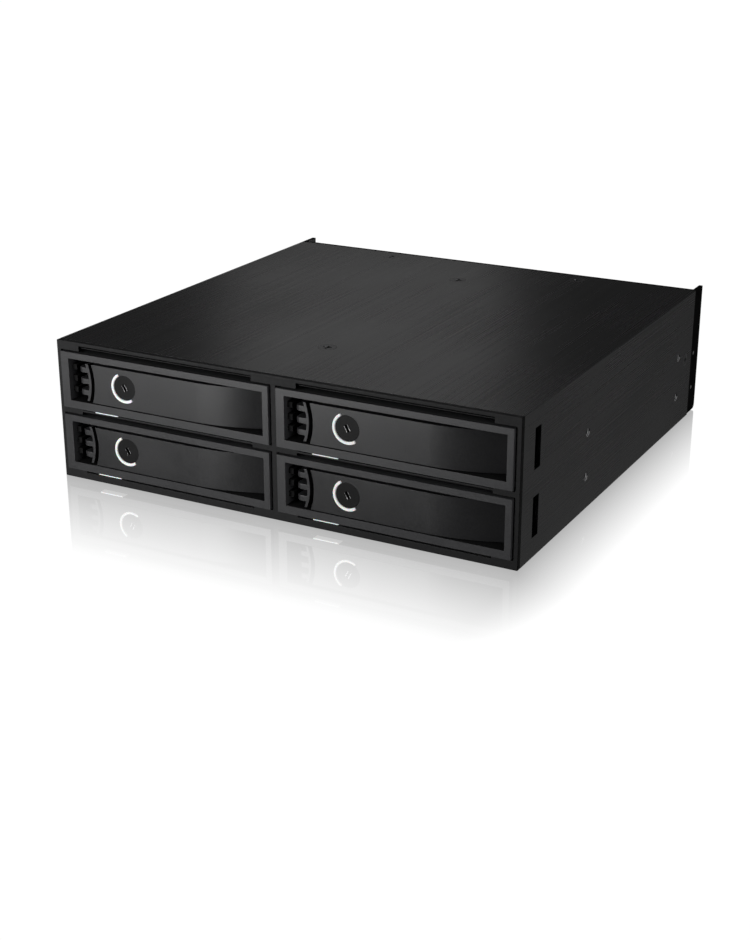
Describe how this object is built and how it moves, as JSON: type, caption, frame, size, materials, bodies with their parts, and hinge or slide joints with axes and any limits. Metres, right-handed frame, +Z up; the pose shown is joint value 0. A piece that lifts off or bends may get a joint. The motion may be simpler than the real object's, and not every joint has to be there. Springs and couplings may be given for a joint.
{
  "type": "four-bay drive enclosure",
  "caption": "Black brushed-metal drive backplane for a half-height 5.25-inch bay, with lockable lever-front trays for 2.5-inch drives.",
  "frame": {"origin": "under the middle of the whole object's box, on the plane that it rests on", "axes": "+X to the right seen from the front, +Y from the front to the rear, +Z up"},
  "size_m": [0.146, 0.1482, 0.042],
  "materials": {
    "black_anodised": "black anodised, brushed along the depth",
    "black_steel": "black powder coat, satin",
    "tray_plastic": "moulded, fine texture",
    "light_guide": "milky white, moulded",
    "lock_metal": "black, satin",
    "black_screw": "black zinc",
    "bright_steel": "plated",
    "board": "green solder mask",
    "connector_plastic": "moulded",
    "fan_plastic": "moulded",
    "natural_plastic": "natural, smooth"
  },
  "bodies": {
    "case": {"cover": "black_anodised", "bezel": "black_anodised", "base_pan": "black_steel", "centre_wall": "black_steel", "shelf_left": "black_steel", "shelf_right": "black_steel", "guide_rails": "natural_plastic", "backplane": "board", "port_board": "board", "board_chips": "connector_plastic", "data_ports": "connector_plastic", "power_ports": "connector_plastic", "board_screws": "bright_steel", "rear_panel": "black_steel", "wing_rivets": "bright_steel", "case_screws": "black_screw", "side_screws": "black_screw", "fan_screws": "black_screw", "fan_frame_left": "fan_plastic", "fan_frame_right": "fan_plastic", "fan_switch": "connector_plastic", "drive_socket_ul": "connector_plastic", "drive_socket_ur": "connector_plastic", "drive_socket_ll": "connector_plastic", "drive_socket_lr": "connector_plastic"},
    "tray_ul": {"face_ul": "tray_plastic", "sled_ul": "black_steel", "light_bar_ul": "light_guide", "hinge_pin_ul": "bright_steel"},
    "ejector_ul": {"lever_ul": "tray_plastic", "light_ring_ul": "light_guide"},
    "catch_ul": {"latch_ul": "tray_plastic"},
    "lock_ul": {"lock_plug_ul": "lock_metal"},
    "tray_ur": {"face_ur": "tray_plastic", "sled_ur": "black_steel", "light_bar_ur": "light_guide", "hinge_pin_ur": "bright_steel"},
    "ejector_ur": {"lever_ur": "tray_plastic", "light_ring_ur": "light_guide"},
    "catch_ur": {"latch_ur": "tray_plastic"},
    "lock_ur": {"lock_plug_ur": "lock_metal"},
    "tray_ll": {"face_ll": "tray_plastic", "sled_ll": "black_steel", "light_bar_ll": "light_guide", "hinge_pin_ll": "bright_steel"},
    "ejector_ll": {"lever_ll": "tray_plastic", "light_ring_ll": "light_guide"},
    "catch_ll": {"latch_ll": "tray_plastic"},
    "lock_ll": {"lock_plug_ll": "lock_metal"},
    "tray_lr": {"face_lr": "tray_plastic", "sled_lr": "black_steel", "light_bar_lr": "light_guide", "hinge_pin_lr": "bright_steel"},
    "ejector_lr": {"lever_lr": "tray_plastic", "light_ring_lr": "light_guide"},
    "catch_lr": {"latch_lr": "tray_plastic"},
    "lock_lr": {"lock_plug_lr": "lock_metal"},
    "rotor_left": {"fan_rotor_left": "fan_plastic"},
    "rotor_right": {"fan_rotor_right": "fan_plastic"},
    "fan_speed": {"switch_slider": "natural_plastic"}
  },
  "joints": [
    {"name": "tray_slide_ul", "type": "slide", "parent": "case", "child": "tray_ul", "axis": [0, -1, 0], "range_m": [0, 0.112]},
    {"name": "lever_hinge_ul", "type": "hinge", "parent": "tray_ul", "child": "ejector_ul", "pos_m": [-0.00565, -0.06791, 0.03058], "axis": [0, 0, 1], "range_deg": [0, 62]},
    {"name": "latch_slide_ul", "type": "slide", "parent": "tray_ul", "child": "catch_ul", "axis": [-1, 0, 0], "range_m": [0, 0.0015], "stiffness_N_per_m": 400},
    {"name": "lock_turn_ul", "type": "hinge", "parent": "ejector_ul", "child": "lock_ul", "pos_m": [-0.04935, -0.07325, 0.0309], "axis": [0, 1, 0], "range_deg": [0, 90]},
    {"name": "tray_slide_ur", "type": "slide", "parent": "case", "child": "tray_ur", "axis": [0, -1, 0], "range_m": [0, 0.112]},
    {"name": "lever_hinge_ur", "type": "hinge", "parent": "tray_ur", "child": "ejector_ur", "pos_m": [0.06685, -0.06791, 0.03058], "axis": [0, 0, 1], "range_deg": [0, 62]},
    {"name": "latch_slide_ur", "type": "slide", "parent": "tray_ur", "child": "catch_ur", "axis": [-1, 0, 0], "range_m": [0, 0.0015], "stiffness_N_per_m": 400},
    {"name": "lock_turn_ur", "type": "hinge", "parent": "ejector_ur", "child": "lock_ur", "pos_m": [0.02315, -0.07325, 0.0309], "axis": [0, 1, 0], "range_deg": [0, 90]},
    {"name": "tray_slide_ll", "type": "slide", "parent": "case", "child": "tray_ll", "axis": [0, -1, 0], "range_m": [0, 0.112]},
    {"name": "lever_hinge_ll", "type": "hinge", "parent": "tray_ll", "child": "ejector_ll", "pos_m": [-0.00565, -0.06791, 0.01142], "axis": [0, 0, 1], "range_deg": [0, 62]},
    {"name": "latch_slide_ll", "type": "slide", "parent": "tray_ll", "child": "catch_ll", "axis": [-1, 0, 0], "range_m": [0, 0.0015], "stiffness_N_per_m": 400},
    {"name": "lock_turn_ll", "type": "hinge", "parent": "ejector_ll", "child": "lock_ll", "pos_m": [-0.04935, -0.07325, 0.01175], "axis": [0, 1, 0], "range_deg": [0, 90]},
    {"name": "tray_slide_lr", "type": "slide", "parent": "case", "child": "tray_lr", "axis": [0, -1, 0], "range_m": [0, 0.112]},
    {"name": "lever_hinge_lr", "type": "hinge", "parent": "tray_lr", "child": "ejector_lr", "pos_m": [0.06685, -0.06791, 0.01142], "axis": [0, 0, 1], "range_deg": [0, 62]},
    {"name": "latch_slide_lr", "type": "slide", "parent": "tray_lr", "child": "catch_lr", "axis": [-1, 0, 0], "range_m": [0, 0.0015], "stiffness_N_per_m": 400},
    {"name": "lock_turn_lr", "type": "hinge", "parent": "ejector_lr", "child": "lock_lr", "pos_m": [0.02315, -0.07325, 0.01175], "axis": [0, 1, 0], "range_deg": [0, 90]},
    {"name": "fan_spin_left", "type": "hinge", "parent": "case", "child": "rotor_left", "pos_m": [-0.051, 0.05975, 0.021], "axis": [0, 1, 0], "continuous": true},
    {"name": "fan_spin_right", "type": "hinge", "parent": "case", "child": "rotor_right", "pos_m": [0.051, 0.05975, 0.021], "axis": [0, 1, 0], "continuous": true},
    {"name": "switch_slide", "type": "slide", "parent": "case", "child": "fan_speed", "axis": [1, 0, 0], "range_m": [0, 0.0055]}
  ]
}
